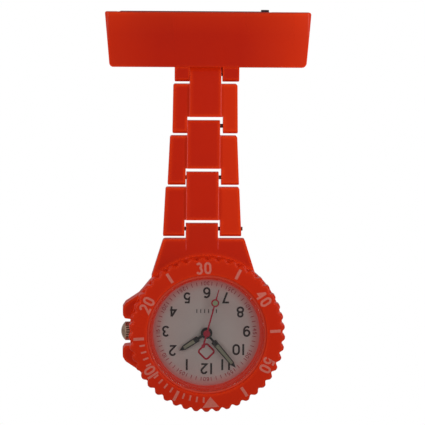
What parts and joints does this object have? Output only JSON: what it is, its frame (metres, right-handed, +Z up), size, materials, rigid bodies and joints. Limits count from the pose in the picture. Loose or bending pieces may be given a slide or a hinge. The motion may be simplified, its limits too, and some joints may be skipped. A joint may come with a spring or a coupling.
{
  "type": "fob watch",
  "caption": "Quartz fob watch that hangs upside down from a brooch bar on hinged links, with a toothed turning bezel and a crown between guards.",
  "frame": {"origin": "centre of the case back's outer face, on the axis the hands turn about", "axes": "+Z up the bracelet to the brooch bar, as the watch hangs; the dial faces -Y; +X to the right as one looks at the dial, so the crown is on -X"},
  "size_m": [0.046, 0.0101, 0.0897],
  "materials": {
    "case_plastic": "satin moulded plastic, orange-red",
    "steel": "satin",
    "dark_steel": "dull, slightly browned",
    "brass": "machined",
    "crystal": "clear, flat",
    "dial_face": "white lacquer with printed numerals",
    "hand_black": "black lacquer",
    "hand_red": "crimson lacquer",
    "lume": "luminous paint, matt",
    "nylon": "white nylon",
    "tinted_nylon": "translucent orange nylon",
    "rubber": "black",
    "black_plastic": "black resin",
    "board": "glass-fibre board, green",
    "copper_wire": "enamelled copper winding"
  },
  "bodies": {
    "brooch": {"brooch_bar": "case_plastic", "pin_plate": "steel", "pin_plate_rivets": "dark_steel", "pin_hinge_rivet": "dark_steel", "bar_hinge_pin": "dark_steel"},
    "brooch_pin": {"pin_wire": "steel"},
    "catch": {"catch_lock": "steel"},
    "upper_link": {"link_1": "case_plastic", "link_1_pin": "dark_steel"},
    "middle_link": {"link_2": "case_plastic", "link_2_pin": "dark_steel"},
    "lower_link": {"link_3": "case_plastic", "case_hinge_pin": "dark_steel"},
    "case": {"case_body": "case_plastic", "case_back": "steel", "case_back_gasket": "rubber", "bezel_spring": "steel", "crystal": "crystal", "crystal_gasket": "tinted_nylon", "rehaut_ring": "case_plastic", "movement_holder": "nylon", "dial": "dial_face", "dial_washer": "brass", "crown_tube": "steel", "main_plate": "brass", "train_bridge": "steel", "movement_screws": "steel", "battery": "steel", "battery_strap": "steel", "circuit_board": "board", "chip": "black_plastic", "quartz_can": "steel", "coil": "copper_wire", "coil_core": "steel", "stator": "steel"},
    "bezel": {"bezel": "case_plastic"},
    "crown_slide": {"crown_seal": "rubber"},
    "crown": {"crown": "steel", "winding_stem": "steel", "clutch_wheel": "steel"},
    "setting_lever": {"setting_lever": "steel"},
    "setting_wheel": {"setting_wheel": "brass"},
    "rotor": {"rotor": "black_plastic"},
    "fifth_wheel": {"fifth_wheel": "brass"},
    "third_wheel": {"third_wheel": "brass"},
    "second_hand": {"seconds_wheel": "brass", "second_hand": "hand_red", "second_lume": "lume"},
    "minute_hand": {"centre_wheel": "brass", "minute_hand": "hand_black", "minute_lume": "lume"},
    "minute_wheel": {"minute_wheel": "brass"},
    "hour_hand": {"hour_wheel": "brass", "hour_hand": "hand_black", "hour_lume": "lume"}
  },
  "joints": [
    {"name": "bar_hinge", "type": "hinge", "parent": "brooch", "child": "upper_link", "pos_m": [0, -0.0019, 0.0579], "axis": [-1, 0, 0], "range_deg": [-55, 45]},
    {"name": "upper_hinge", "type": "hinge", "parent": "upper_link", "child": "middle_link", "pos_m": [0, -0.0019, 0.0463], "axis": [-1, 0, 0], "range_deg": [-55, 45]},
    {"name": "lower_hinge", "type": "hinge", "parent": "middle_link", "child": "lower_link", "pos_m": [0, -0.0019, 0.0347], "axis": [-1, 0, 0], "range_deg": [-55, 45]},
    {"name": "case_hinge", "type": "hinge", "parent": "lower_link", "child": "case", "pos_m": [0, -0.0019, 0.0231], "axis": [-1, 0, 0], "range_deg": [-55, 45]},
    {"name": "pin_swing", "type": "hinge", "parent": "brooch", "child": "brooch_pin", "pos_m": [0.01275, -0.00015, 0.0708], "axis": [0, 0, -1], "range_deg": [0, 75]},
    {"name": "catch_turn", "type": "hinge", "parent": "brooch", "child": "catch", "pos_m": [-0.019, -0.00015, 0.0708], "axis": [1, 0, 0], "range_deg": [0, 90]},
    {"name": "bezel_turn", "type": "hinge", "parent": "case", "child": "bezel", "pos_m": [0, -0.007, 0], "axis": [0, 1, 0], "continuous": true},
    {"name": "crown_pull", "type": "slide", "parent": "case", "child": "crown_slide", "axis": [-1, 0, 0], "range_m": [0, 0.0008]},
    {"name": "crown_turn", "type": "hinge", "parent": "crown_slide", "child": "crown", "pos_m": [-0.017, -0.00285, 0], "axis": [-1, 0, 0], "continuous": true},
    {"name": "setting_lever_swing", "type": "hinge", "parent": "case", "child": "setting_lever", "pos_m": [-0.0079, -0.0016, 0.0023], "axis": [0, 1, 0], "range_deg": [0, 20]},
    {"name": "second_hand_turn", "type": "hinge", "parent": "case", "child": "second_hand", "pos_m": [0, -0.003, 0], "axis": [0, 1, 0], "continuous": true},
    {"name": "rotor_turn", "type": "hinge", "parent": "case", "child": "rotor", "pos_m": [-0.00211, -0.003, -0.00365], "axis": [0, 1, 0], "continuous": true},
    {"name": "fifth_wheel_turn", "type": "hinge", "parent": "case", "child": "fifth_wheel", "pos_m": [0, -0.003, -0.00288], "axis": [0, 1, 0], "continuous": true},
    {"name": "third_wheel_turn", "type": "hinge", "parent": "case", "child": "third_wheel", "pos_m": [-0.00236, -0.003, 0.00136], "axis": [0, 1, 0], "continuous": true},
    {"name": "minute_hand_turn", "type": "hinge", "parent": "case", "child": "minute_hand", "pos_m": [0, -0.003, 0], "axis": [0, 1, 0], "continuous": true},
    {"name": "minute_wheel_turn", "type": "hinge", "parent": "case", "child": "minute_wheel", "pos_m": [-0.00216, -0.003, 0], "axis": [0, 1, 0], "continuous": true},
    {"name": "hour_hand_turn", "type": "hinge", "parent": "case", "child": "hour_hand", "pos_m": [0, -0.003, 0], "axis": [0, 1, 0], "continuous": true},
    {"name": "setting_wheel_turn", "type": "hinge", "parent": "case", "child": "setting_wheel", "pos_m": [-0.00486, -0.003, 0], "axis": [0, 1, 0], "continuous": true}
  ],
  "couplings": [
    {"joint": "fifth_wheel_turn", "follows": "second_hand_turn", "ratio": -5},
    {"joint": "rotor_turn", "follows": "second_hand_turn", "ratio": 30},
    {"joint": "third_wheel_turn", "follows": "second_hand_turn", "ratio": -0.125},
    {"joint": "minute_hand_turn", "follows": "second_hand_turn", "ratio": 0.016667},
    {"joint": "minute_wheel_turn", "follows": "second_hand_turn", "ratio": -0.0055556},
    {"joint": "hour_hand_turn", "follows": "second_hand_turn", "ratio": 0.0013889},
    {"joint": "setting_wheel_turn", "follows": "second_hand_turn", "ratio": 0.0083333},
    {"joint": "setting_lever_swing", "follows": "crown_pull", "rad_per_m": 418.9}
  ]
}
